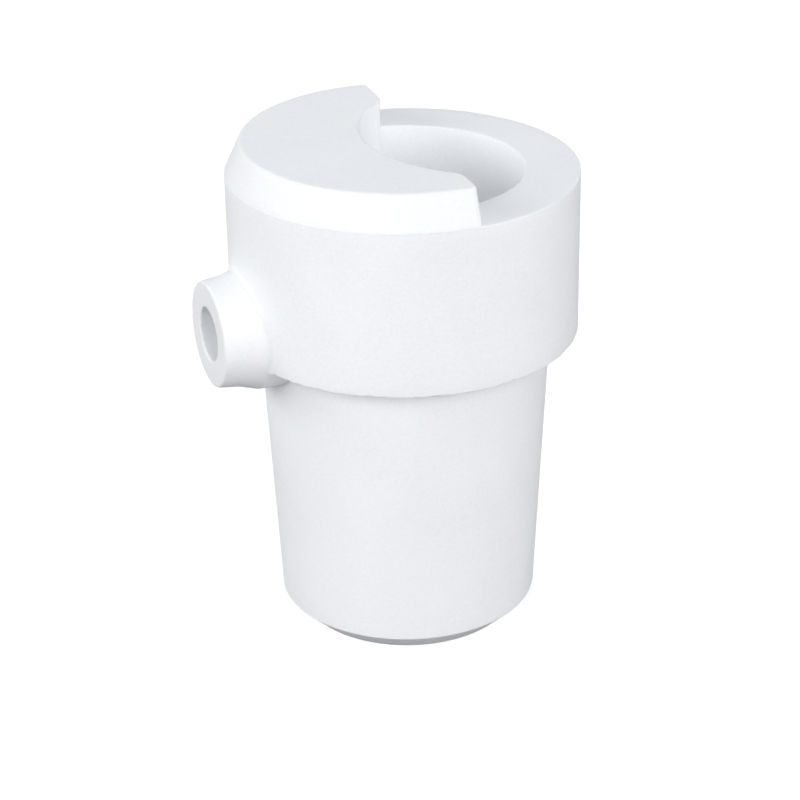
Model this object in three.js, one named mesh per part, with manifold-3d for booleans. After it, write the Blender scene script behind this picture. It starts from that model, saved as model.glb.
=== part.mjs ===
// Small vacuum filter funnel in white fluoropolymer.
//
// A thick round collar sits on a hollow ground cone. The collar holds a round pocket with a filter
// plate at its bottom, a half-moon guard lies over one side of the pocket, and a conical side port
// screws through the collar into the cone's neck. Filtrate leaves by a drain tube down the middle of
// the cone, and the suction is drawn from the ring-shaped space around that tube.
//
// Millimetres, +Z up. The origin is on the cone's axis, at its large end, in the plane of the
// collar's underside. The side port points along -X.

import * as THREE from 'three';
import { mergeVertices } from 'three/addons/utils/BufferGeometryUtils.js';
import Module from 'manifold-3d';

const wasm = await Module();
wasm.setup();

// ---- driving dimensions ------------------------------------------------------------------------

const cutGap = 0.3;       // clearance around a piece that sits in its neighbour's cut
const faceGap = 0.05;     // clearance between two flat faces that rest on each other

// Ground cone, size 34/35: 34.5 mm across its large end, narrowing 1 mm in 10.
const coneTopRadius = 17.25;
const coneLength = 34.4;
const coneRadiusLoss = coneLength / 20;
const footBevelDrop = 2.4;
const footBevelRun = 2.5;
const chamberRadius = 9.8;
const chamberShoulder = 5.0;
const ceilingRadius = 7.6;
const chamberCeiling = 3.2;

// Neck: the top of the cone, inside the collar.
const neckRadius = 16.6;
const neckTop = 7.85;
const dishRadius = 12.3;
const dishFloor = 6.6;

// Collar.
const headRadius = 20.5;
const headHeight = 19.6;
const pocketRadius = 14.15;

// Filter stack.
const gasketOuterRadius = 15.1;
const gasketThickness = 0.5;
const plateThickness = 1.55;
const paperThickness = 0.38;
const plateHoleRadius = 0.6;
const plateHoleRings = [
  { radius: 3.4, count: 6 },
  { radius: 6.5, count: 12 },
  { radius: 9.6, count: 18 },
];

// Half-moon guard. Its ends stop on a straight line, and a round bite is taken out of its middle.
const guardHeight = 3.95;
const guardChamferRun = 1.85;
const guardEnd = 2.0;
const guardCornerRadius = 2.7;
const biteRadius = 16.6;
const biteCentre = new THREE.Vector2(12.0, -0.85);
const guardTurn = THREE.MathUtils.degToRad(-2.5);

// Side port, along -X at its own height.
const portHeight = 2.95;
const portReach = 24.3;
const portFaceRadius = 6.2;
const portRootRadius = 7.2;
const portRootReach = 19.5;
const portShoulder = 16.2;
const portShankRadius = 4.0;
const portShankEnd = 12.8;
const portBoreRadius = 3.15;
const portEdgeBreak = 0.2;
const portSealThickness = 0.8;

// Drain tube with its flange, seal and nut.
const tubeRadius = 4.0;
const tubeBoreRadius = 2.4;
const tubeEnd = -34.0;
const flangeRadius = 6.4;
const flangeThickness = 1.0;
const drainSealHeight = 0.8;
const nutAcrossFlats = 12;
const nutThickness = 3.2;

const roundSegments = 72;
const smallSegments = 40;
const boreSegments = 12;

// ---- solids ------------------------------------------------------------------------------------

// A closed three.js geometry as a manifold solid.
function solid(geometry) {
  const bare = geometry.clone();
  bare.deleteAttribute('normal');
  bare.deleteAttribute('uv');
  const merged = mergeVertices(bare);
  const mesh = new wasm.Mesh({
    numProp: 3,
    vertProperties: new Float32Array(merged.attributes.position.array),
    triVerts: new Uint32Array(merged.index.array),
  });
  return new wasm.Manifold(mesh);
}

function geometryOf(manifold) {
  const mesh = manifold.getMesh();
  const geometry = new THREE.BufferGeometry();
  geometry.setAttribute('position', new THREE.BufferAttribute(mesh.vertProperties, 3));
  geometry.setIndex(new THREE.BufferAttribute(mesh.triVerts, 1));
  return geometry;
}

// A body with each of the cutters taken away.
function cutFrom(body, cutters) {
  const left = cutters.reduce((rest, cutter) => rest.subtract(solid(cutter)), solid(body));
  return geometryOf(left);
}

// A ring turned about Z. The outline is a list of [radius, height] pairs, anticlockwise.
function turned(outline, segments = roundSegments) {
  const points = [...outline, outline[0]].map(([radius, height]) => new THREE.Vector2(radius, height));
  return new THREE.LatheGeometry(points, segments).rotateX(Math.PI / 2);
}

// A ring turned about the side port's axis, its outline in [radius, reach from the main axis].
function turnedOnPort(outline) {
  return turned(outline, smallSegments).rotateY(-Math.PI / 2).translate(0, 0, portHeight);
}

function rod(radiusBottom, radiusTop, bottom, top, segments = roundSegments) {
  const height = top - bottom;
  return new THREE.CylinderGeometry(radiusTop, radiusBottom, height, segments)
    .rotateX(Math.PI / 2)
    .translate(0, 0, bottom + height / 2);
}

function rodOnPort(radius, innerReach, outerReach) {
  return rod(radius, radius, innerReach, outerReach, smallSegments)
    .rotateY(-Math.PI / 2)
    .translate(0, 0, portHeight);
}

function slab(shape, bottom, top, curveSegments) {
  const options = { depth: top - bottom, bevelEnabled: false, curveSegments };
  return new THREE.ExtrudeGeometry(shape, options).translate(0, 0, bottom);
}

function disc(radius) {
  return new THREE.Shape().absarc(0, 0, radius, 0, 2 * Math.PI, false);
}

function hole(x, y, radius) {
  return new THREE.Path().absarc(x, y, radius, 0, 2 * Math.PI, true);
}

// ---- the cone and what hangs in it -------------------------------------------------------------

const flangeBottom = dishFloor - flangeThickness;
const flangeSeat = flangeBottom - drainSealHeight;
const portSealSeat = portShoulder - portSealThickness;

function groundCone() {
  const foot = -coneLength - footBevelDrop;
  const coneFootRadius = coneTopRadius - coneRadiusLoss;
  const body = turned([
    [chamberRadius, foot],
    [coneFootRadius - footBevelRun, foot],
    [coneFootRadius, -coneLength],
    [coneTopRadius, -faceGap],
    [neckRadius, -faceGap],
    [neckRadius, neckTop],
    [dishRadius, neckTop],
    [flangeRadius + cutGap, dishFloor],
    [flangeRadius + cutGap, flangeSeat],
    [tubeRadius + cutGap, flangeSeat],
    [tubeRadius + cutGap, chamberCeiling],
    [ceilingRadius, chamberCeiling],
    [chamberRadius, chamberShoulder],
  ]);
  const spotFace = rodOnPort(portRootRadius + cutGap, portSealSeat, portReach);
  const shankHole = rodOnPort(portShankRadius + cutGap, portShankEnd - cutGap, portSealSeat + cutGap);
  const airHole = rodOnPort(portBoreRadius, chamberRadius - cutGap, portShankEnd);
  return cutFrom(body, [spotFace, shankHole, airHole]);
}

function drainTube() {
  const body = turned([
    [tubeBoreRadius, tubeEnd],
    [tubeRadius, tubeEnd],
    [tubeRadius, flangeBottom],
    [flangeRadius, flangeBottom],
    [flangeRadius, dishFloor],
    [tubeBoreRadius, dishFloor],
  ], smallSegments);
  // The lower end is cut on a slant, so that drops leave from its long side.
  const tipCut = new THREE.BoxGeometry(30, 30, 10)
    .translate(0, 0, -5)
    .rotateY(THREE.MathUtils.degToRad(30))
    .translate(0, 0, tubeEnd + tubeRadius * Math.tan(THREE.MathUtils.degToRad(30)));
  return cutFrom(body, [tipCut]);
}

function drainSeal() {
  const sectionRadius = drainSealHeight / 2 - faceGap / 2;
  const ringRadius = (flangeRadius + tubeRadius) / 2;
  return new THREE.TorusGeometry(ringRadius, sectionRadius, boreSegments, smallSegments)
    .translate(0, 0, flangeSeat + drainSealHeight / 2);
}

function drainNut() {
  const cornerRadius = nutAcrossFlats / 2 / Math.cos(Math.PI / 6);
  const outline = new THREE.Shape();
  for (let corner = 0; corner < 6; corner += 1) {
    const angle = (corner * Math.PI) / 3;
    const place = [cornerRadius * Math.cos(angle), cornerRadius * Math.sin(angle)];
    if (corner === 0) outline.moveTo(...place);
    else outline.lineTo(...place);
  }
  outline.closePath();
  outline.holes.push(hole(0, 0, tubeRadius + cutGap));
  const top = chamberCeiling - faceGap;
  return slab(outline, top - nutThickness, top, smallSegments / 2);
}

// ---- the side port -----------------------------------------------------------------------------

function sidePort() {
  return turnedOnPort([
    [portBoreRadius, portShankEnd],
    [portShankRadius, portShankEnd],
    [portShankRadius, portShoulder],
    [portRootRadius, portShoulder],
    [portRootRadius, portRootReach],
    [portFaceRadius, portReach - portEdgeBreak],
    [portFaceRadius - portEdgeBreak, portReach],
    [portBoreRadius + portEdgeBreak, portReach],
    [portBoreRadius, portReach - portEdgeBreak],
  ]);
}

function portSeal() {
  return turnedOnPort([
    [portShankRadius + cutGap, portSealSeat + faceGap],
    [portRootRadius - cutGap, portSealSeat + faceGap],
    [portRootRadius - cutGap, portShoulder - faceGap],
    [portShankRadius + cutGap, portShoulder - faceGap],
  ]);
}

// ---- the collar and the filter stack -----------------------------------------------------------

const gasketBottom = neckTop + faceGap;
const gasketTop = gasketBottom + gasketThickness;
const plateBottom = gasketTop + faceGap;
const plateTop = plateBottom + plateThickness;
const paperBottom = plateTop + faceGap;
const paperTop = paperBottom + paperThickness;

function headCollar() {
  const body = turned([
    [neckRadius + cutGap, 0],
    [headRadius, 0],
    [headRadius, headHeight],
    [pocketRadius, headHeight],
    [pocketRadius, gasketTop + faceGap],
    [neckRadius + cutGap, gasketTop + faceGap],
  ]);
  const portHole = rodOnPort(portRootRadius + cutGap, portSealSeat, headRadius + cutGap);
  return cutFrom(body, [portHole]);
}

function seatGasket() {
  return turned([
    [dishRadius, gasketBottom],
    [gasketOuterRadius, gasketBottom],
    [gasketOuterRadius, gasketTop],
    [dishRadius, gasketTop],
  ]);
}

function filterPlate() {
  const outline = disc(pocketRadius - cutGap);
  for (const ring of plateHoleRings) {
    for (let index = 0; index < ring.count; index += 1) {
      const angle = (2 * Math.PI * index) / ring.count;
      const centre = [ring.radius * Math.cos(angle), ring.radius * Math.sin(angle)];
      outline.holes.push(hole(...centre, plateHoleRadius));
    }
  }
  return slab(outline, plateBottom, plateTop, boreSegments);
}

function filterPaper() {
  return slab(disc(pocketRadius - cutGap), paperBottom, paperTop, roundSegments / 2);
}

// ---- the half-moon guard -----------------------------------------------------------------------

// Where the round corner between an end face and the bite has its centre. side is +1 or -1.
function cornerCentre(side) {
  const x = guardEnd - guardCornerRadius;
  const reach = biteRadius + guardCornerRadius;
  const y = biteCentre.y + side * Math.sqrt(reach ** 2 - (x - biteCentre.x) ** 2);
  return new THREE.Vector2(x, y);
}

// Plan of the guard, with its outer edge left wide: the flange and the spigot trim it.
function guardPlan() {
  const wide = headRadius + 2;
  const back = cornerCentre(1);
  const front = cornerCentre(-1);
  const toBack = back.clone().sub(biteCentre).angle();
  const toFront = front.clone().sub(biteCentre).angle();
  const plan = new THREE.Shape();
  plan.moveTo(guardEnd, wide);
  plan.lineTo(-wide, wide);
  plan.lineTo(-wide, -wide);
  plan.lineTo(guardEnd, -wide);
  plan.absarc(front.x, front.y, guardCornerRadius, 0, toFront - Math.PI, false);
  plan.absarc(biteCentre.x, biteCentre.y, biteRadius, toFront, toBack, true);
  plan.absarc(back.x, back.y, guardCornerRadius, toBack - Math.PI, 0, false);
  plan.closePath();
  return plan;
}

function halfMoonGuard() {
  const flangeBottomPlane = headHeight + faceGap;
  const top = headHeight + guardHeight;
  const spigotBottom = paperTop + faceGap;
  const flange = solid(rod(headRadius, headRadius - guardChamferRun, flangeBottomPlane, top));
  const spigotRadius = pocketRadius - cutGap;
  const spigot = solid(rod(spigotRadius, spigotRadius, spigotBottom, flangeBottomPlane + cutGap));
  const plan = solid(slab(guardPlan(), spigotBottom - 1, top + 1, smallSegments));
  return geometryOf(flange.add(spigot).intersect(plan)).rotateZ(guardTurn);
}

// ---- the funnel --------------------------------------------------------------------------------

function finish(color, roughness) {
  return new THREE.MeshStandardMaterial({ color, roughness, metalness: 0 });
}

const funnel = new THREE.Group();

function add(name, geometry, material) {
  const mesh = new THREE.Mesh(geometry, material);
  mesh.name = name;
  funnel.add(mesh);
}

add('ground_cone', groundCone(), finish('#eef0f1', 0.62));
add('head_collar', headCollar(), finish('#f1f2f3', 0.62));
add('half_moon_guard', halfMoonGuard(), finish('#f1f2f3', 0.62));
add('side_port', sidePort(), finish('#f4f5f5', 0.58));
add('port_seal', portSeal(), finish('#d9d6cf', 0.7));
add('seat_gasket', seatGasket(), finish('#d9d6cf', 0.7));
add('filter_plate', filterPlate(), finish('#e9ebec', 0.6));
add('filter_paper', filterPaper(), finish('#f3f1ea', 0.95));
add('drain_tube', drainTube(), finish('#e6e8e8', 0.5));
add('drain_seal', drainSeal(), finish('#d9d6cf', 0.7));
add('drain_nut', drainNut(), finish('#eceeee', 0.6));

export default funnel;
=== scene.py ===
"""Looks of the small vacuum filter funnel: turned white plastic on a pale floor, in soft studio light."""

import math
import random

import bpy
import numpy as np
from mathutils import Matrix, Vector


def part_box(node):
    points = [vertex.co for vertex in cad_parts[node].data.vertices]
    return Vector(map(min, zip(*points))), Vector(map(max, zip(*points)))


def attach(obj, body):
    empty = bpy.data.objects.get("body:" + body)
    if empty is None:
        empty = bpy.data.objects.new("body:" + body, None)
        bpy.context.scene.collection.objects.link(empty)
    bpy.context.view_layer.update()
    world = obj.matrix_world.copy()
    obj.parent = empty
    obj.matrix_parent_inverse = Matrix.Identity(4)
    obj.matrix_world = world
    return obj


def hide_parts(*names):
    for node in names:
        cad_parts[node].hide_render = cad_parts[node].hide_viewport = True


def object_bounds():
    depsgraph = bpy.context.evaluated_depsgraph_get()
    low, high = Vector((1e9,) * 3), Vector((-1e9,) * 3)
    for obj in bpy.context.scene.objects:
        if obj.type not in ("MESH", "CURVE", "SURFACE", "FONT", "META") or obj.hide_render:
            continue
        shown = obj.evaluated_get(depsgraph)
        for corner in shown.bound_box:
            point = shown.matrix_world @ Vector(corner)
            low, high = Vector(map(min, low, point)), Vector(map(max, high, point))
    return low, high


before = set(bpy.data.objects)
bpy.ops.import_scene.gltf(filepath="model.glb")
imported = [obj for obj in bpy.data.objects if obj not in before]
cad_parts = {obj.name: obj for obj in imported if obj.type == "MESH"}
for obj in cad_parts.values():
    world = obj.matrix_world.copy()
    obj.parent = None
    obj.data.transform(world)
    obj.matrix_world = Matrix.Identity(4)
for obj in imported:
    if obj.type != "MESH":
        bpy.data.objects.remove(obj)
cad_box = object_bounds()

MM = 0.001
TAU = 2 * math.pi

# ---- dimensions, in mm --------------------------------------------------------------------------


def box_mm(node):
    low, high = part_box(node)
    return low / MM, high / MM


cone_low, cone_high = box_mm("ground_cone")
_, collar_high = box_mm("head_collar")
guard_low, guard_high = box_mm("half_moon_guard")
port_low, port_high = box_mm("side_port")
port_seal_low, port_seal_high = box_mm("port_seal")
gasket_low, gasket_high = box_mm("seat_gasket")
plate_low, plate_high = box_mm("filter_plate")
paper_low, paper_high = box_mm("filter_paper")
_, tube_high = box_mm("drain_tube")
drain_seal_low, drain_seal_high = box_mm("drain_seal")
nut_low, nut_high = box_mm("drain_nut")

# The turned fits of the real part are closer than the clearances of the collision solids.
SEAM = 0.005
FIT = 0.03

# Clearances that the CAD has too.
PLATE_CLEARANCE = 0.3
GASKET_CLEARANCE = 0.05
TUBE_CLEARANCE = 0.15
SHANK_CLEARANCE = 0.1

HEAD_RADIUS = collar_high.y
HEAD_TOP = collar_high.z
POCKET_RADIUS = plate_high.y + PLATE_CLEARANCE
SHOULDER = gasket_high.z + GASKET_CLEARANCE
COUNTERBORE_RADIUS = 16.9

CONE_RADIUS = cone_high.y
NECK_RADIUS = 16.6
NECK_TOP = cone_high.z
FOOT = cone_low.z
FOOT_RING_RADIUS = 13.03
TAPER_END_RADIUS = 15.53
TAPER_END = -34.4
CHAMBER_RADIUS = 9.8
CHAMBER_SHOULDER = 5.0
CEILING_RADIUS = 7.6
CEILING = 3.2
DISH_RADIUS = 12.3

PORT_HEIGHT = (port_low.z + port_high.z) / 2
PORT_FACE = -port_low.x
PORT_SHANK_END = -port_high.x
PORT_FACE_RADIUS = 6.2
PORT_ROOT_RADIUS = (port_high.z - port_low.z) / 2
PORT_ROOT_REACH = 19.5
PORT_SHOULDER = 16.2
PORT_WAIST_RADIUS = 6.5
PORT_WAIST_REACH = 21.8
PORT_FILLET = 0.6
PORT_SHANK_RADIUS = 4.0
PORT_BORE_RADIUS = 3.15
SHANK_HOLE_RADIUS = PORT_SHANK_RADIUS + SHANK_CLEARANCE
SHANK_HOLE_START = 12.5
SHANK_HOLE_END = 15.7

TUBE_RADIUS = 4.0
TUBE_BORE_RADIUS = 2.4
FLANGE_RADIUS = tube_high.y
FLANGE_TOP = tube_high.z
FLANGE_THICKNESS = 1.0
FLANGE_BOTTOM = FLANGE_TOP - FLANGE_THICKNESS
FLANGE_RECESS_RADIUS = FLANGE_RADIUS + 0.3
FLANGE_RECESS_FLOOR = FLANGE_BOTTOM - 0.8
TUBE_HOLE_RADIUS = TUBE_RADIUS + TUBE_CLEARANCE
TUBE_END = -34.0
TUBE_ALLOWANCE = 3.0
TIP_SLANT = math.radians(30)

# The inner radius of a turned cutter. It leaves a thread of this radius down the middle of each cut.
NEARLY_ZERO = 0.001

# A rod wider than anything that it trims.
CUTTER_RADIUS = 40

GUARD_TOP = guard_high.z
GUARD_CHAMFER_RUN = 1.85
GUARD_END = 2.0
GUARD_CORNER = 2.7
BITE_RADIUS = 16.6
BITE_X, BITE_Y = 12.0, -0.85
GUARD_TURN = math.radians(-2.5)
SPIGOT_RADIUS = POCKET_RADIUS - FIT
SPIGOT_BOTTOM = guard_low.z

# ---- meshes -------------------------------------------------------------------------------------


def new_piece(name, vertices_mm, faces):
    mesh = bpy.data.meshes.new(name)
    mesh.from_pydata([tuple(float(c) * MM for c in v) for v in vertices_mm], [], faces)
    mesh.validate()
    piece = bpy.data.objects.new(name, mesh)
    bpy.context.scene.collection.objects.link(piece)
    return piece


def bake_modifiers(piece):
    """Turns the piece's modifiers into its own mesh."""
    depsgraph = bpy.context.evaluated_depsgraph_get()
    mesh = bpy.data.meshes.new_from_object(piece.evaluated_get(depsgraph))
    piece.modifiers.clear()
    piece.data = mesh


def combine(piece, others, operation):
    for other in others:
        modifier = piece.modifiers.new("combine", "BOOLEAN")
        modifier.operation = operation
        modifier.solver = "EXACT"
        modifier.object = other
    bake_modifiers(piece)
    for other in others:
        bpy.data.objects.remove(other)


def shade(piece, sharp_degrees=32):
    """Smooth on turned surfaces, crisp on cut edges, flat on flat faces."""
    piece.data.shade_smooth()
    piece.data.set_sharp_from_angle(angle=math.radians(sharp_degrees))
    modifier = piece.modifiers.new("normals", "WEIGHTED_NORMAL")
    modifier.keep_sharp = True
    bake_modifiers(piece)


def no_wear(corner, angles):
    return np.ones_like(angles)


def turned_rows(corners, angles, wear, arc_steps, longest):
    """Radius and height of each row of a turned outline, at each angle.

    corners holds (radius, height, edge radius), anticlockwise. wear(corner, angles) scales that
    corner's edge radius round the piece.
    """
    count = len(corners)
    places = [np.array(c[:2], float) for c in corners]
    arcs = []
    for i, corner in enumerate(corners):
        here = places[i]
        if corner[2] == 0:
            arcs.append([np.repeat(here[None], len(angles), axis=0)])
            continue
        back = places[i - 1] - here
        ahead = places[(i + 1) % count] - here
        back /= np.linalg.norm(back)
        ahead /= np.linalg.norm(ahead)
        half = math.acos(np.clip(back @ ahead, -1, 1)) / 2
        to_centre = (back + ahead) / np.linalg.norm(back + ahead) / math.sin(half)
        first = back / math.tan(half) - to_centre
        last = ahead / math.tan(half) - to_centre
        sweep = math.acos(np.clip(first @ last, -1, 1))
        radius = corner[2] * wear(i, angles)
        rows = []
        for step in range(arc_steps + 1):
            t = step / arc_steps
            out = (math.sin((1 - t) * sweep) * first + math.sin(t * sweep) * last) / math.sin(sweep)
            rows.append(here[None] + radius[:, None] * (to_centre + out)[None])
        arcs.append(rows)
    rows = []
    for i in range(count):
        rows.extend(arcs[i])
        start, end = arcs[i][-1], arcs[(i + 1) % count][0]
        pieces = max(1, math.ceil(np.linalg.norm(places[(i + 1) % count] - places[i]) / longest))
        rows.extend(start + (end - start) * (k / pieces) for k in range(1, pieces))
    return rows


def turned(name, corners, segments=256, wear=no_wear, arc_steps=5, longest=1.6):
    """A ring turned about Z."""
    angles = np.arange(segments) * TAU / segments
    rows = turned_rows(corners, angles, wear, arc_steps, longest)
    vertices = []
    for row in rows:
        radius, height = row[:, 0], row[:, 1]
        vertices.extend(zip(radius * np.cos(angles), radius * np.sin(angles), height))
    faces = []
    for k in range(len(rows)):
        low, high = k * segments, ((k + 1) % len(rows)) * segments
        for j in range(segments):
            n = (j + 1) % segments
            faces.append((low + j, low + n, high + n, high + j))
    return new_piece(name, vertices, faces)


def rod(name, radius, bottom, top, segments=192):
    """A closed round rod along Z, used as a cutter."""
    vertices, faces = [], []
    for height in (bottom, top):
        for j in range(segments):
            angle = TAU * j / segments
            vertices.append((radius * math.cos(angle), radius * math.sin(angle), height))
    for j in range(segments):
        n = (j + 1) % segments
        faces.append((j, n, segments + n, segments + j))
    faces.append(tuple(reversed(range(segments))))
    faces.append(tuple(range(segments, 2 * segments)))
    return new_piece(name, vertices, faces)


def onto_port_axis(piece):
    """Lays a piece made along +Z onto the side port's axis, its height becoming its reach."""
    piece.data.transform(Matrix.Translation((0, 0, PORT_HEIGHT * MM)) @ Matrix.Rotation(-TAU / 4, 4, "Y"))
    return piece


def nicked_edge(seed, nick_count, nick_scale, waviness, raggedness=0.0):
    """Wear for a turned edge: a slow waviness, a fine raggedness and a few small nicks."""
    draw = random.Random(seed)
    waves = [(draw.randint(3, 60), draw.uniform(0, TAU), draw.uniform(0.3, 1)) for _ in range(14)]
    nicks = [
        (draw.uniform(0, TAU), draw.uniform(0.006, 0.02), draw.uniform(0.4, 1)) for _ in range(nick_count)
    ]
    burrs = np.array([draw.gauss(0, 1) for _ in range(360)])

    def wear(corner, angles):
        scale = 1 + raggedness * np.interp(angles / TAU * 360, np.arange(360), burrs, period=360)
        for frequency, phase, size in waves:
            scale += waviness * size * np.sin(frequency * angles + phase) / 4
        for place, width, depth in nicks:
            away = np.abs((angles - place + math.pi) % TAU - math.pi)
            scale += nick_scale * depth * np.exp(-((away / width) ** 2))
        return np.clip(scale, 0.25, 4)

    return wear


# ---- materials ----------------------------------------------------------------------------------


class Nodes:
    """Short calls to build one material's node tree."""

    def __init__(self, name):
        self.material = bpy.data.materials.new(name)
        self.material.use_nodes = True
        self.tree = self.material.node_tree
        self.shader = self.tree.nodes["Principled BSDF"]

    def add(self, kind, inputs=None, **settings):
        node = self.tree.nodes.new(kind)
        for key, value in settings.items():
            setattr(node, key, value)
        for key, value in (inputs or {}).items():
            self.feed(node.inputs[key], value)
        return node

    def feed(self, socket, value):
        if isinstance(value, bpy.types.NodeSocket):
            self.tree.links.new(value, socket)
        else:
            socket.default_value = value

    def math(self, operation, first, second=0.0, third=0.0):
        return self.add("ShaderNodeMath", {0: first, 1: second, 2: third}, operation=operation).outputs[0]

    def noise(self, place, scale, detail=2.0, roughness=0.5):
        inputs = {"Vector": place, "Scale": scale, "Detail": detail, "Roughness": roughness}
        return self.add("ShaderNodeTexNoise", inputs).outputs["Fac"]

    def ramp(self, factor, stops):
        node = self.add("ShaderNodeValToRGB", {"Fac": factor})
        elements = node.color_ramp.elements
        while len(elements) < len(stops):
            elements.new(0.5)
        for element, (position, color) in zip(elements, stops):
            element.position = position
            element.color = (*color, 1)
        return node.outputs["Color"]

    def bump(self, height, distance, strength, normal=None):
        inputs = {"Height": height, "Distance": distance, "Strength": strength}
        if normal is not None:
            inputs["Normal"] = normal
        return self.add("ShaderNodeBump", inputs).outputs["Normal"]

    def wire(self, **sockets):
        for key, value in sockets.items():
            self.feed(self.shader.inputs[key.replace("_", " ")], value)
        return self.material


def turned_plastic(name, color, spread, lathe_axis="Z", mark_pitch=0.22, mark_depth=0.004, roughness=0.55):
    """White sintered fluoropolymer: fine grain, faint mottling, and the fine rings a lathe tool leaves."""
    nodes = Nodes(name)
    place = nodes.add("ShaderNodeTexCoord").outputs["Object"]
    grain_scale, pore_scale, cloud_scale = 2600, 900, 130
    grain = nodes.noise(place, grain_scale, 3.0, 0.6)
    pores = nodes.noise(place, pore_scale, 4.0, 0.55)
    clouds = nodes.noise(place, cloud_scale, 3.0, 0.5)

    axes = nodes.add("ShaderNodeSeparateXYZ", {"Vector": place}).outputs
    along = axes["Z"]
    across = (axes["X"], axes["Y"])
    if lathe_axis == "X":
        along = axes["X"]
        across = (nodes.math("SUBTRACT", axes["Z"], PORT_HEIGHT * MM), axes["Y"])
    squares = [nodes.math("POWER", axis, 2.0) for axis in across]
    radius_squared = nodes.math("ADD", squares[0], squares[1])
    reach = nodes.math("ADD", along, nodes.math("SQRT", radius_squared))
    drift = nodes.math("MULTIPLY", clouds, 0.0006)
    phase = nodes.math("MULTIPLY", nodes.math("ADD", reach, drift), TAU / (mark_pitch * MM))
    rings = nodes.math("SINE", phase)

    tone = nodes.math("ADD", nodes.math("MULTIPLY", grain, 0.6), nodes.math("MULTIPLY", clouds, 0.4))
    dark = tuple(c * (1 - spread) for c in color)
    light = tuple(min(1, c * (1 + spread)) for c in color)
    base = nodes.ramp(tone, [(0.36, dark), (0.5, color), (0.66, light)])

    mark_normal = nodes.bump(rings, mark_depth * MM, 0.5)
    pore_normal = nodes.bump(pores, 0.02 * MM, 0.55, mark_normal)
    normal = nodes.bump(grain, 0.012 * MM, 0.7, pore_normal)
    rough = nodes.math("ADD", roughness - 0.06, nodes.math("MULTIPLY", pores, 0.12))
    shader = nodes.shader.inputs
    shader["IOR"].default_value = 1.37
    shader["Subsurface Weight"].default_value = 0.12
    shader["Subsurface Radius"].default_value = (1.0, 1.0, 1.0)
    shader["Subsurface Scale"].default_value = 0.7 * MM
    return nodes.wire(Base_Color=base, Roughness=rough, Normal=normal)


def soft_rubber(name, color):
    """Off-white elastomer: waxy, with a dusty bloom and a slight moulded texture."""
    nodes = Nodes(name)
    place = nodes.add("ShaderNodeTexCoord").outputs["Object"]
    bloom = nodes.noise(place, 420, 4.0, 0.6)
    skin = nodes.noise(place, 1900, 2.0, 0.5)
    base = nodes.ramp(bloom, [(0.3, tuple(c * 0.93 for c in color)), (0.7, color)])
    rough = nodes.math("ADD", 0.38, nodes.math("MULTIPLY", bloom, 0.2))
    normal = nodes.bump(skin, 0.008 * MM, 0.5)
    nodes.shader.inputs["Subsurface Weight"].default_value = 0.1
    nodes.shader.inputs["Subsurface Radius"].default_value = (1.0, 0.9, 0.75)
    nodes.shader.inputs["Subsurface Scale"].default_value = 0.6 * MM
    return nodes.wire(Base_Color=base, Roughness=rough, Normal=normal)


def fibre_paper(name):
    """Filter paper: tangled cotton fibres, thick and thin spots, no gloss."""
    nodes = Nodes(name)
    place = nodes.add("ShaderNodeTexCoord").outputs["Object"]
    warp = nodes.add("ShaderNodeTexNoise", {"Vector": place, "Scale": 500.0, "Detail": 2.0}).outputs["Color"]
    bent = nodes.add("ShaderNodeMixRGB", {"Fac": 0.0006, "Color1": place, "Color2": warp}, blend_type="ADD")
    layers = []
    for turn in (0.3, 1.1, 1.9, 2.7):
        mapping = nodes.add("ShaderNodeMapping", {"Vector": bent.outputs["Color"]})
        mapping.inputs["Rotation"].default_value = (0, 0, turn)
        mapping.inputs["Scale"].default_value = (500, 5200, 3000)
        strands = nodes.noise(mapping.outputs["Vector"], 1.0, 1.0, 0.4)
        layers.append(nodes.math("SMOOTH_MIN", 1.0, nodes.math("MULTIPLY", strands, 1.35), 0.2))
    tangle = layers[0]
    for layer in layers[1:]:
        tangle = nodes.math("MAXIMUM", tangle, layer)
    cloud = nodes.noise(place, 340, 3.0, 0.6)
    tone = nodes.math("ADD", nodes.math("MULTIPLY", tangle, 0.6), nodes.math("MULTIPLY", cloud, 0.3))
    thin, middle, thick = (0.74, 0.735, 0.70), (0.82, 0.815, 0.79), (0.88, 0.875, 0.855)
    base = nodes.ramp(tone, [(0.45, thin), (0.62, middle), (0.85, thick)])
    cloud_normal = nodes.bump(cloud, 0.05 * MM, 0.5)
    normal = nodes.bump(tangle, 0.03 * MM, 0.8, cloud_normal)
    nodes.shader.inputs["Roughness"].default_value = 0.95
    nodes.shader.inputs["Sheen Weight"].default_value = 0.15
    nodes.shader.inputs["Sheen Roughness"].default_value = 0.6
    return nodes.wire(Base_Color=base, Normal=normal)


WHITE = (0.945, 0.957, 0.972)
plastic = turned_plastic("ptfe_turned", WHITE, 0.035)
cone_plastic = turned_plastic(
    "ptfe_ground_cone", WHITE, 0.035, mark_pitch=0.14, mark_depth=0.003, roughness=0.6
)
port_plastic = turned_plastic("ptfe_port", WHITE, 0.03, lathe_axis="X", roughness=0.5)
plate_plastic = turned_plastic("ptfe_plate", (0.885, 0.895, 0.91), 0.025, mark_pitch=0.3)
tube_plastic = turned_plastic("ptfe_tube", (0.88, 0.895, 0.91), 0.015, roughness=0.42)
rubber = soft_rubber("seal_rubber", (0.78, 0.755, 0.70))
paper_finish = fibre_paper("filter_paper_fibre")


def finish_piece(piece, body, node, material, sharp_degrees=32):
    shade(piece, sharp_degrees)
    piece.data.materials.clear()
    piece.data.materials.append(material)
    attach(piece, body)
    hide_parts(node)


# ---- camera -------------------------------------------------------------------------------------

AIM = Vector((-0.64, 0.26, -10.26)) * MM
AZIMUTH = math.radians(-21.96)
ELEVATION = math.radians(26.24)
DISTANCE = 288.3 * MM
ROLL = 0.0155
LENS = 107.7

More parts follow.
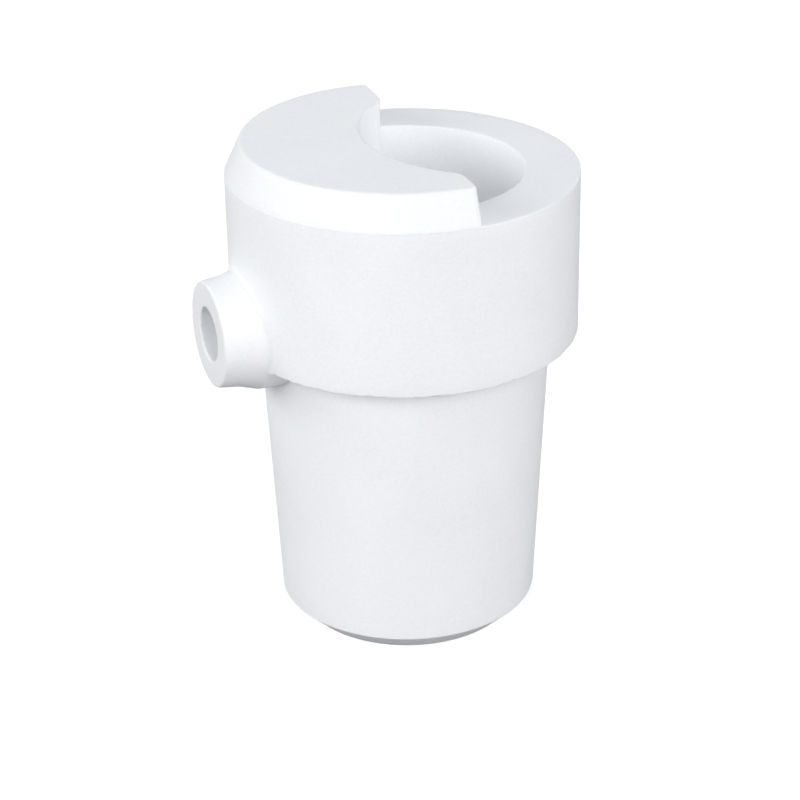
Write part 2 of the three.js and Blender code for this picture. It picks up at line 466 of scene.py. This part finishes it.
camera_data = bpy.data.cameras.new("camera")
camera_data.lens = LENS
camera_data.sensor_width = 36
camera_data.clip_start = 0.01
camera_data.clip_end = 20
camera = bpy.data.objects.new("camera", camera_data)
bpy.context.scene.collection.objects.link(camera)
back = Vector((
    math.sin(AZIMUTH) * math.cos(ELEVATION),
    -math.cos(AZIMUTH) * math.cos(ELEVATION),
    math.sin(ELEVATION),
))
camera.location = AIM + back * DISTANCE
camera.rotation_mode = "QUATERNION"
camera.rotation_quaternion = (-back).to_track_quat("-Z", "Y") @ Matrix.Rotation(-ROLL, 3, "Z").to_quaternion()
bpy.context.scene.camera = camera

# ---- collar -------------------------------------------------------------------------------------

ledge_nicks = nicked_edge(5, 10, 0.9, 0.5)
rim_nicks = nicked_edge(6, 6, 0.7, 0.4)
lower_nicks = nicked_edge(7, 40, 1.6, 0.6, 0.4)


def under_guard(angles):
    """1 where the guard covers the ledge, 0 where the ledge is bare, with a short run between."""
    turned_back = (angles - GUARD_TURN + math.pi) % TAU - math.pi
    edge = math.pi / 2 - GUARD_END / HEAD_RADIUS
    return np.clip((np.abs(turned_back) - edge) / 0.03, 0, 1)


def collar_wear(corner, angles):
    if corner == 1:
        return lower_nicks(corner, angles)
    if corner == 2:
        return ledge_nicks(corner, angles) * (1 - 0.92 * under_guard(angles))
    if corner == 3:
        return rim_nicks(corner, angles)
    return np.ones_like(angles)


# The side port's outside as [radius, reach, edge radius]: a round shank, then a waisted cone.
PORT_OUTSIDE = [
    (PORT_ROOT_RADIUS, PORT_SHOULDER, 0.15),
    (PORT_ROOT_RADIUS, PORT_ROOT_REACH, 0.8),
    (PORT_WAIST_RADIUS, PORT_WAIST_REACH, 3.0),
    (PORT_FACE_RADIUS, PORT_FACE, 0.3),
]


def port_radius(reach):
    """Radius of the port's outside at a reach between its root and its face."""
    rows = [(reach_, radius) for radius, reach_, _ in PORT_OUTSIDE[1:]]
    return float(np.interp(reach, [r[0] for r in rows], [r[1] for r in rows]))


def port_cutter(segments=288):
    """The port's outside, a hair slimmer, so that what it is cut from closes on the port without a gap."""
    hair = 0.006
    start = PORT_SHOULDER - 0.8
    outline = [(NEARLY_ZERO, start, 0), (PORT_ROOT_RADIUS - hair, start, 0)]
    outline += [(radius - hair, reach, edge) for radius, reach, edge in PORT_OUTSIDE[1:3]]
    outline += [(PORT_FACE_RADIUS - hair, PORT_FACE, 0), (NEARLY_ZERO, PORT_FACE, 0)]
    return onto_port_axis(turned("cut", outline, segments=segments, longest=0.8))


def port_fillet():
    """The small concave fillet on the collar round the side port, closed inside the collar's wall."""
    segments, steps = 288, 8
    size = PORT_FILLET
    burial = 0.8
    inner_radius = PORT_FACE_RADIUS - 0.6
    vertices, faces = [], []
    for j in range(segments):
        angle = TAU * j / segments
        across, up = math.cos(angle), math.sin(angle)

        def collar_reach(radius):
            return math.sqrt(HEAD_RADIUS**2 - (radius * across) ** 2)

        root = collar_reach(PORT_ROOT_RADIUS)
        inside = port_radius(root)
        outer_reach = collar_reach(inside + size)
        corner = np.array([inside, root])
        on_collar = np.array([inside + size, outer_reach - 0.004])
        on_port = np.array([port_radius(root + size) - 0.012, root + size])
        outline = []
        for k in range(steps + 1):
            t = k / steps
            outline.append((1 - t) ** 2 * on_collar + 2 * t * (1 - t) * corner + t**2 * on_port)
        outline.append(np.array([inner_radius, root + size]))
        outline.append(np.array([inner_radius, root - burial]))
        outline.append(np.array([inside + size, outer_reach - burial]))
        vertices.extend((-reach, radius * across, PORT_HEIGHT + radius * up) for radius, reach in outline)
    row = len(outline)
    for j in range(segments):
        n = (j + 1) % segments
        for k in range(row):
            m = (k + 1) % row
            faces.append((j * row + k, n * row + k, n * row + m, j * row + m))
    ring = new_piece("cut", vertices, faces)
    below = rod("cut", CUTTER_RADIUS, -30, 0.02, 4)
    combine(ring, [below], "DIFFERENCE")
    return ring


collar = turned("collar", [
    (COUNTERBORE_RADIUS, 0, 0.15),
    (HEAD_RADIUS, 0, 0.16),
    (HEAD_RADIUS, HEAD_TOP, 0.14),
    (POCKET_RADIUS, HEAD_TOP, 0.15),
    (POCKET_RADIUS, SHOULDER, 0.05),
    (COUNTERBORE_RADIUS, SHOULDER, 0.08),
], segments=720, wear=collar_wear)
combine(collar, [port_fillet()], "UNION")
combine(collar, [port_cutter()], "DIFFERENCE")
finish_piece(collar, "funnel_body", "head_collar", plastic)

# ---- ground cone --------------------------------------------------------------------------------

foot_nicks = nicked_edge(8, 20, 1.0, 0.6, 0.25)


def cone_wear(corner, angles):
    return foot_nicks(corner, angles) if corner in (1, 2) else np.ones_like(angles)


cone = turned("ground_cone_turned", [
    (CHAMBER_RADIUS, FOOT, 0.2),
    (FOOT_RING_RADIUS, FOOT, 0.15),
    (TAPER_END_RADIUS, TAPER_END, 0.22),
    (CONE_RADIUS, -SEAM, 0.08),
    (NECK_RADIUS, -SEAM, 0.1),
    (NECK_RADIUS, NECK_TOP, 0.3),
    (DISH_RADIUS, NECK_TOP, 0.2),
    (FLANGE_RECESS_RADIUS, FLANGE_TOP, 0.3),
    (FLANGE_RECESS_RADIUS, FLANGE_RECESS_FLOOR, 0.06),
    (TUBE_HOLE_RADIUS, FLANGE_RECESS_FLOOR, 0.12),
    (TUBE_HOLE_RADIUS, CEILING, 0.12),
    (CEILING_RADIUS, CEILING, 0.4),
    (CHAMBER_RADIUS, CHAMBER_SHOULDER, 0.5),
], segments=512, wear=cone_wear)
combine(cone, [
    port_cutter(),
    onto_port_axis(rod("cut", SHANK_HOLE_RADIUS, SHANK_HOLE_START, SHANK_HOLE_END, 96)),
    onto_port_axis(rod("cut", PORT_BORE_RADIUS, CHAMBER_RADIUS - 0.3, SHANK_HOLE_START + 0.3, 96)),
], "DIFFERENCE")
finish_piece(cone, "funnel_body", "ground_cone", cone_plastic)

# ---- side port ----------------------------------------------------------------------------------

face_nicks = nicked_edge(9, 5, 0.7, 0.5)


def port_wear(corner, angles):
    return face_nicks(corner, angles) if corner in (6, 7) else np.ones_like(angles)


port = onto_port_axis(turned("port_nipple", [
    (PORT_BORE_RADIUS, PORT_SHANK_END, 0.15),
    (PORT_SHANK_RADIUS, PORT_SHANK_END, 0.25),
    (PORT_SHANK_RADIUS, PORT_SHOULDER, 0.1),
    *PORT_OUTSIDE,
    (PORT_BORE_RADIUS, PORT_FACE, 0.28),
], segments=288, wear=port_wear, longest=0.6))
finish_piece(port, "funnel_body", "side_port", port_plastic)

# ---- half-moon guard ----------------------------------------------------------------------------

CORNER_X = GUARD_END - GUARD_CORNER
CORNER_RISE = math.sqrt((BITE_RADIUS + GUARD_CORNER) ** 2 - (CORNER_X - BITE_X) ** 2)
BACK_CORNER = Vector((CORNER_X, BITE_Y + CORNER_RISE))
FRONT_CORNER = Vector((CORNER_X, BITE_Y - CORNER_RISE))
TO_BACK = math.atan2(BACK_CORNER.y - BITE_Y, BACK_CORNER.x - BITE_X)
OUTER_CORNER = 0.8
TOP_EDGE = 0.25


def arc(centre, radius, start, end, steps):
    """Points on an arc, both ends included."""
    turns = [start + (end - start) * k / steps for k in range(steps + 1)]
    return [(centre[0] + radius * math.cos(t), centre[1] + radius * math.sin(t)) for t in turns]


def straight(start, end, steps):
    return [tuple(start[i] + (end[i] - start[i]) * k / steps for i in (0, 1)) for k in range(steps + 1)]


def spigot_crossing():
    """The angle on the front corner's arc at which it meets the spigot's round."""
    low, high = 0.0, math.pi - TO_BACK
    for _ in range(40):
        middle = (low + high) / 2
        x = FRONT_CORNER.x + GUARD_CORNER * math.cos(middle)
        y = FRONT_CORNER.y + GUARD_CORNER * math.sin(middle)
        low, high = (middle, high) if math.hypot(x, y) > SPIGOT_RADIUS else (low, middle)
    return (low + high) / 2


CROSSING = spigot_crossing()
END_CROSSING = math.sqrt(SPIGOT_RADIUS**2 - GUARD_END**2)


def inner_chain(inset):
    """Front corner, bite, back corner and the first stretch of the back end, up to the spigot's round."""
    tangent = math.pi - TO_BACK
    points = arc(FRONT_CORNER, GUARD_CORNER - inset, CROSSING, tangent, 4)
    points += arc((BITE_X, BITE_Y), BITE_RADIUS + inset, TAU - TO_BACK, TO_BACK, 150)[1:]
    points += arc(BACK_CORNER, GUARD_CORNER - inset, -tangent, 0, 16)[1:]
    points += straight(points[-1], (GUARD_END - inset, END_CROSSING), 2)[1:]
    return points


def outer_chain(inset, outer_radius):
    """The rest of the guard's outline, from the back end round the outside to the front corner."""
    rise = math.sqrt((outer_radius - OUTER_CORNER) ** 2 - (GUARD_END - OUTER_CORNER) ** 2)
    lean = math.atan2(rise, GUARD_END - OUTER_CORNER)
    back_centre, front_centre = (GUARD_END - OUTER_CORNER, rise), (GUARD_END - OUTER_CORNER, -rise)
    points = straight((GUARD_END - inset, END_CROSSING), (GUARD_END - inset, rise), 8)[1:]
    points += arc(back_centre, OUTER_CORNER - inset, 0, lean, 6)[1:]
    points += arc((0, 0), outer_radius - inset, lean, TAU - lean, 320)[1:]
    points += arc(front_centre, OUTER_CORNER - inset, -lean, 0, 6)[1:]
    points += straight(points[-1], (GUARD_END - inset, FRONT_CORNER.y), 8)[1:]
    points += arc(FRONT_CORNER, GUARD_CORNER - inset, 0, CROSSING, 14)[1:-1]
    return points


def spigot_round(inset, count):
    back_angle = math.atan2(END_CROSSING, GUARD_END)
    x = FRONT_CORNER.x + GUARD_CORNER * math.cos(CROSSING)
    y = FRONT_CORNER.y + GUARD_CORNER * math.sin(CROSSING)
    front_angle = math.atan2(y, x) + TAU
    return arc((0, 0), SPIGOT_RADIUS - inset, back_angle, front_angle, count + 1)[1:-1]


def half_moon_guard():
    flange_bottom = HEAD_TOP + SEAM
    slope = GUARD_CHAMFER_RUN / (GUARD_TOP - flange_bottom)
    outer_count = len(outer_chain(0, HEAD_RADIUS))
    inner_count = len(inner_chain(0))
    vertices, faces = [], []

    def add_ring(points, height):
        first = len(vertices)
        vertices.extend((x, y, height) for x, y in points)
        return list(range(first, first + len(points)))

    def join(low, high):
        for k in range(len(low)):
            n = (k + 1) % len(low)
            faces.append((low[k], high[k], high[n], low[n]))

    edge = 0.15
    spigot_levels = [
        (edge * (1 - math.sin(t)), SPIGOT_BOTTOM + edge * (1 - math.cos(t)))
        for t in np.linspace(0, TAU / 4, 4)
    ]
    spigot_levels += [(0, SPIGOT_BOTTOM + (flange_bottom - SPIGOT_BOTTOM) * k / 6) for k in range(1, 7)]
    rings = [add_ring(inner_chain(d) + spigot_round(d, outer_count), z) for d, z in spigot_levels]
    faces.append(tuple(rings[0]))
    for low, high in zip(rings, rings[1:]):
        join(low, high)

    lip = 0.01
    # The flange's underside runs from the spigot's round out to the rim; the bite's wall carries on.
    shared = rings[-1][:inner_count]
    inside = rings[-1][inner_count:]
    outside = add_ring(outer_chain(0, HEAD_RADIUS - lip), flange_bottom)
    under = [shared[-1]] + inside + [shared[0]]
    over = [shared[-1]] + outside + [shared[0]]
    for k in range(len(under) - 1):
        strip = (under[k], over[k], over[k + 1], under[k + 1])
        faces.append(tuple(dict.fromkeys(strip)))
    ring = shared + outside

    shoulder = GUARD_TOP - flange_bottom - TOP_EDGE
    levels = [(0, lip)] + [(0, lip + (shoulder - lip) * k / 4) for k in range(1, 5)]
    levels += [
        (TOP_EDGE * (1 - math.cos(t)), shoulder + TOP_EDGE * math.sin(t))
        for t in np.linspace(0, TAU / 4, 7)[1:]
    ]
    for inset, rise in levels:
        points = inner_chain(inset) + outer_chain(inset, HEAD_RADIUS - slope * rise)
        new_ring = add_ring(points, flange_bottom + rise)
        join(ring, new_ring)
        ring = new_ring
    faces.append(tuple(reversed(ring)))
    piece = new_piece("guard_half_moon", vertices, faces)
    piece.data.transform(Matrix.Rotation(GUARD_TURN, 4, "Z"))
    return piece


guard = half_moon_guard()
finish_piece(guard, "guard", "half_moon_guard", plastic)

# ---- filter plate and paper ---------------------------------------------------------------------

HOLE_RINGS = ((3.4, 6), (6.5, 12), (9.6, 18))
HOLE_RADIUS = 0.6
COUNTERSINK = 0.45
HOLE_OVERRUN = 0.3
COUNTERSINK_DEPTH = 0.15
plate_radius = plate_high.y

plate = turned("plate_drilled", [
    (0.4, plate_low.z, 0.05),
    (plate_radius, plate_low.z, 0.2),
    (plate_radius, plate_high.z, 0.2),
    (0.4, plate_high.z, 0.05),
], segments=192)
drill_holes = []
for ring_radius, count in HOLE_RINGS:
    for k in range(count):
        angle = TAU * k / count
        drill = turned("cut", [
            (NEARLY_ZERO, plate_low.z - HOLE_OVERRUN, 0),
            (HOLE_RADIUS + COUNTERSINK, plate_low.z - HOLE_OVERRUN, 0),
            (HOLE_RADIUS, plate_low.z + COUNTERSINK_DEPTH, 0),
            (HOLE_RADIUS, plate_high.z - COUNTERSINK_DEPTH, 0),
            (HOLE_RADIUS + COUNTERSINK, plate_high.z + HOLE_OVERRUN, 0),
            (NEARLY_ZERO, plate_high.z + HOLE_OVERRUN, 0),
        ], segments=32, longest=9)
        x, y = ring_radius * math.cos(angle) * MM, ring_radius * math.sin(angle) * MM
        drill.data.transform(Matrix.Translation((x, y, 0)))
        drill_holes.append(drill)
combine(plate, drill_holes, "DIFFERENCE")
finish_piece(plate, "filter_stack", "filter_plate", plate_plastic)


def paper_disc():
    """Paper lies flat, but its cut edge is soft and it dimples a little over each hole."""
    radius, rings, segments = paper_high.y - 0.05, 44, 240
    top = paper_high.z - 0.04
    soft_from = 0.97
    dimple_depth, dimple_spread, curl_height = 0.035, 0.5, 0.03
    holes = [
        (r * math.cos(TAU * k / n), r * math.sin(TAU * k / n)) for r, n in HOLE_RINGS for k in range(n)
    ]
    draw = random.Random(3)
    waves = [(draw.randint(2, 9), draw.uniform(0, TAU)) for _ in range(5)]
    vertices, faces = [], []

    def lift(x, y, r, angle):
        dimple = sum(math.exp(-((x - a) ** 2 + (y - b) ** 2) / dimple_spread) for a, b in holes)
        curl = sum(math.sin(f * angle + p) for f, p in waves) / 5 * max(0, r / radius - 0.6)
        return -dimple_depth * dimple + curl_height * curl

    top_first = 1
    vertices.append((0, 0, top))
    for i in range(1, rings + 1):
        r = radius * i / rings
        soft = 0.06 * max(0, i / rings - soft_from) / (1 - soft_from)
        for j in range(segments):
            angle = TAU * j / segments
            x, y = r * math.cos(angle), r * math.sin(angle)
            vertices.append((x, y, top + lift(x, y, r, angle) - soft))
    rim = top_first + (rings - 1) * segments
    low_first = len(vertices)
    for j in range(segments):
        angle = TAU * j / segments
        vertices.append((radius * math.cos(angle), radius * math.sin(angle), paper_low.z + 0.05))
    for j in range(segments):
        n = (j + 1) % segments
        faces.append((0, top_first + j, top_first + n))
        for i in range(rings - 1):
            a, b = top_first + i * segments, top_first + (i + 1) * segments
            faces.append((a + j, b + j, b + n, a + n))
        faces.append((rim + j, low_first + j, low_first + n, rim + n))
    faces.append(tuple(reversed(range(low_first, low_first + segments))))
    return new_piece("paper_disc", vertices, faces)


paper = paper_disc()
finish_piece(paper, "filter_stack", "filter_paper", paper_finish, 50)

# ---- drain tube, nut and seals ------------------------------------------------------------------

tube = turned("tube_drain", [
    (TUBE_BORE_RADIUS, TUBE_END - TUBE_ALLOWANCE, 0),
    (TUBE_RADIUS, TUBE_END - TUBE_ALLOWANCE, 0),
    (TUBE_RADIUS, FLANGE_BOTTOM, 0.15),
    (FLANGE_RADIUS, FLANGE_BOTTOM, 0.15),
    (FLANGE_RADIUS, FLANGE_TOP, 0.2),
    (TUBE_BORE_RADIUS, FLANGE_TOP, 0.4),
], segments=160)
slant = rod("cut", CUTTER_RADIUS, -20, 0, 16)
slant_height = (TUBE_END + TUBE_RADIUS * math.tan(TIP_SLANT)) * MM
slant.data.transform(Matrix.Translation((0, 0, slant_height)) @ Matrix.Rotation(TIP_SLANT, 4, "Y"))
combine(tube, [slant], "DIFFERENCE")
finish_piece(tube, "funnel_body", "drain_tube", tube_plastic)

nut_flat = nut_high.y
nut_corner = nut_flat / math.cos(math.pi / 6)
nut_chamfer = (nut_corner - nut_flat) * math.tan(math.radians(30)) * 1.3
nut_face = nut_flat - 0.2
nut = turned("nut_drain", [
    (TUBE_HOLE_RADIUS, nut_low.z, 0.2),
    (nut_face, nut_low.z, 0),
    (nut_corner, nut_low.z + nut_chamfer, 0),
    (nut_corner, nut_high.z - nut_chamfer, 0),
    (nut_face, nut_high.z, 0),
    (TUBE_HOLE_RADIUS, nut_high.z, 0.2),
], segments=180)
hexagon = rod("cut", nut_corner, nut_low.z - 1, nut_high.z + 1, 6)
bevel = hexagon.modifiers.new("corners", "BEVEL")
bevel.width = 0.15 * MM
bevel.segments = 3
bake_modifiers(hexagon)
combine(nut, [hexagon], "INTERSECT")
finish_piece(nut, "funnel_body", "drain_nut", tube_plastic, 24)

section = (drain_seal_high.z - drain_seal_low.z) / 2
section_reach = drain_seal_high.y - section
section_height = (drain_seal_high.z + drain_seal_low.z) / 2
SECTION_POINTS = 24
section_turns = [TAU * k / SECTION_POINTS for k in range(SECTION_POINTS)]
o_ring = turned("oring_drain", [
    (section_reach + section * math.cos(t), section_height + section * math.sin(t), 0) for t in section_turns
], segments=144)
finish_piece(o_ring, "funnel_body", "drain_seal", rubber, 60)

gasket = turned("gasket_seat", [
    (DISH_RADIUS, gasket_low.z, 0.08),
    (gasket_high.y, gasket_low.z, 0.12),
    (gasket_high.y, gasket_high.z, 0.12),
    (DISH_RADIUS, gasket_high.z, 0.12),
], segments=256)
finish_piece(gasket, "funnel_body", "seat_gasket", rubber)

port_seal_radius = (port_seal_high.z - port_seal_low.z) / 2
port_gasket = onto_port_axis(turned("gasket_port", [
    (SHANK_HOLE_RADIUS, -port_seal_high.x, 0.1),
    (port_seal_radius, -port_seal_high.x, 0.15),
    (port_seal_radius, -port_seal_low.x, 0.15),
    (SHANK_HOLE_RADIUS, -port_seal_low.x, 0.1),
], segments=144))
finish_piece(port_gasket, "funnel_body", "port_seal", rubber)

# ---- floor and light ----------------------------------------------------------------------------


def level_sheet(name, below):
    """A wide flat sheet under the object, this far below its foot, that casts no shadow."""
    size = 3.0
    height = cad_box[0].z - below * MM
    corners = [(-size, -size, height), (size, -size, height), (size, size, height), (-size, size, height)]
    mesh = bpy.data.meshes.new(name)
    mesh.from_pydata(corners, [], [(0, 1, 2, 3)])
    sheet = bpy.data.objects.new(name, mesh)
    bpy.context.scene.collection.objects.link(sheet)
    sheet.visible_shadow = False
    return sheet


def pale_floor():
    """A wide white floor. The bounce card stands in for the light that it throws back up."""
    floor = level_sheet("floor", 0.01)
    nodes = Nodes("floor_white")
    place = nodes.add("ShaderNodeTexCoord").outputs["Object"]
    faint = nodes.noise(place, 40, 2.0)
    base = nodes.ramp(faint, [(0.3, (0.95, 0.952, 0.955)), (0.7, (0.97, 0.971, 0.973))])
    nodes.shader.inputs["Roughness"].default_value = 1.0
    nodes.shader.inputs["Specular IOR Level"].default_value = 0.0
    nodes.shader.inputs["Emission Color"].default_value = (1, 1, 1, 1)
    nodes.shader.inputs["Emission Strength"].default_value = FLOOR_GLOW
    floor.data.materials.append(nodes.wire(Base_Color=base))
    floor.visible_diffuse = False
    floor.visible_glossy = False


def bounce_card(reflectance):
    """A matt grey card just under the floor, out of the camera's sight, for the light on the undersides."""
    card = level_sheet("bounce_card", 0.06)
    card.visible_camera = False
    nodes = Nodes("bounce_grey")
    place = nodes.add("ShaderNodeTexCoord").outputs["Object"]
    grey = nodes.ramp(nodes.noise(place, 20, 2.0),
                      [(0.3, (reflectance * 0.98,) * 3), (0.7, (reflectance * 1.02,) * 3)])
    nodes.shader.inputs["Roughness"].default_value = 1.0
    nodes.shader.inputs["Specular IOR Level"].default_value = 0.0
    card.data.materials.append(nodes.wire(Base_Color=grey))


def backdrop():
    """A plain white wall and ceiling round the floor, for the low views. It lets the tent's light by."""
    reach, wall, ridge, count = 2.8, 2.0, 3.0, 64
    foot = cad_box[0].z - 0.05
    turns = [TAU * i / count for i in range(count)]
    points = [(reach * math.cos(t), reach * math.sin(t), z) for z in (foot, wall) for t in turns]
    points.append((0, 0, ridge))
    faces = []
    for i in range(count):
        j = (i + 1) % count
        faces += [(i, j, count + j, count + i), (count + i, count + j, 2 * count)]
    mesh = bpy.data.meshes.new("backdrop")
    mesh.from_pydata(points, [], faces)
    wall_object = bpy.data.objects.new("backdrop", mesh)
    bpy.context.scene.collection.objects.link(wall_object)
    nodes = Nodes("backdrop_white")
    nodes.shader.inputs["Roughness"].default_value = 1.0
    nodes.shader.inputs["Emission Color"].default_value = (1, 1, 1, 1)
    nodes.shader.inputs["Emission Strength"].default_value = 1.0
    mesh.materials.append(nodes.wire())
    wall_object.visible_diffuse = wall_object.visible_glossy = wall_object.visible_shadow = False


def light_tent(stops, tint):
    """A white tent round the object.

    stops holds (height, brightness), from height -1 straight down to 1 straight up.
    """
    world = bpy.data.worlds.new("light_tent")
    bpy.context.scene.world = world
    world.use_nodes = True
    tree = world.node_tree
    background = tree.nodes["Background"]
    direction = tree.nodes.new("ShaderNodeTexCoord").outputs["Generated"]
    split = tree.nodes.new("ShaderNodeSeparateXYZ")
    tree.links.new(direction, split.inputs[0])
    height = tree.nodes.new("ShaderNodeMapRange")
    tree.links.new(split.outputs["Z"], height.inputs["Value"])
    height.inputs["From Min"].default_value = -1
    ramp = tree.nodes.new("ShaderNodeValToRGB")
    tree.links.new(height.outputs["Result"], ramp.inputs["Fac"])
    elements = ramp.color_ramp.elements
    while len(elements) < len(stops):
        elements.new(0.5)
    for element, (place, brightness) in zip(elements, stops):
        element.position = (place + 1) / 2
        element.color = (*(brightness * c for c in tint), 1)
    tree.links.new(ramp.outputs["Color"], background.inputs["Color"])


def softbox(name, azimuth, elevation, power):
    """A soft area light that faces the object. The azimuth is counted as for the camera."""
    data = bpy.data.lights.new(name, "AREA")
    data.shape = "RECTANGLE"
    data.size, data.size_y = BOX_SIZE
    data.energy = power
    light = bpy.data.objects.new(name, data)
    a, e = math.radians(azimuth), math.radians(elevation)
    away = Vector((math.sin(a) * math.cos(e), -math.cos(a) * math.cos(e), math.sin(e)))
    light.location = away * BOX_DISTANCE
    light.rotation_mode = "QUATERNION"
    light.rotation_quaternion = (-away).to_track_quat("-Z", "Y")
    bpy.context.scene.collection.objects.link(light)


# The floor glows a little, so that it stays white close to the object.
FLOOR_GLOW = 0.4
CARD_GREY = 0.25
TENT_BAND = 1.6
TENT_TOP = 0.2
TENT_TINT = (0.98, 0.996, 1.03)
BOX_SIZE = (0.6, 0.5)
BOX_DISTANCE = 0.8
FACING = math.degrees(AZIMUTH)

pale_floor()
bounce_card(CARD_GREY)
backdrop()
light_tent(
    [(-1, 0.0), (0.12, 0.0), (0.28, TENT_BAND), (0.52, TENT_BAND), (0.68, TENT_TOP), (1, TENT_TOP)],
    TENT_TINT,
)
softbox("left_box", FACING - 76, 15, 2.12)
softbox("front_box", FACING - 15, 26, 1.0)
softbox("right_box", FACING + 36, 15, 2.22)

bpy.context.scene.view_settings.view_transform = "Standard"
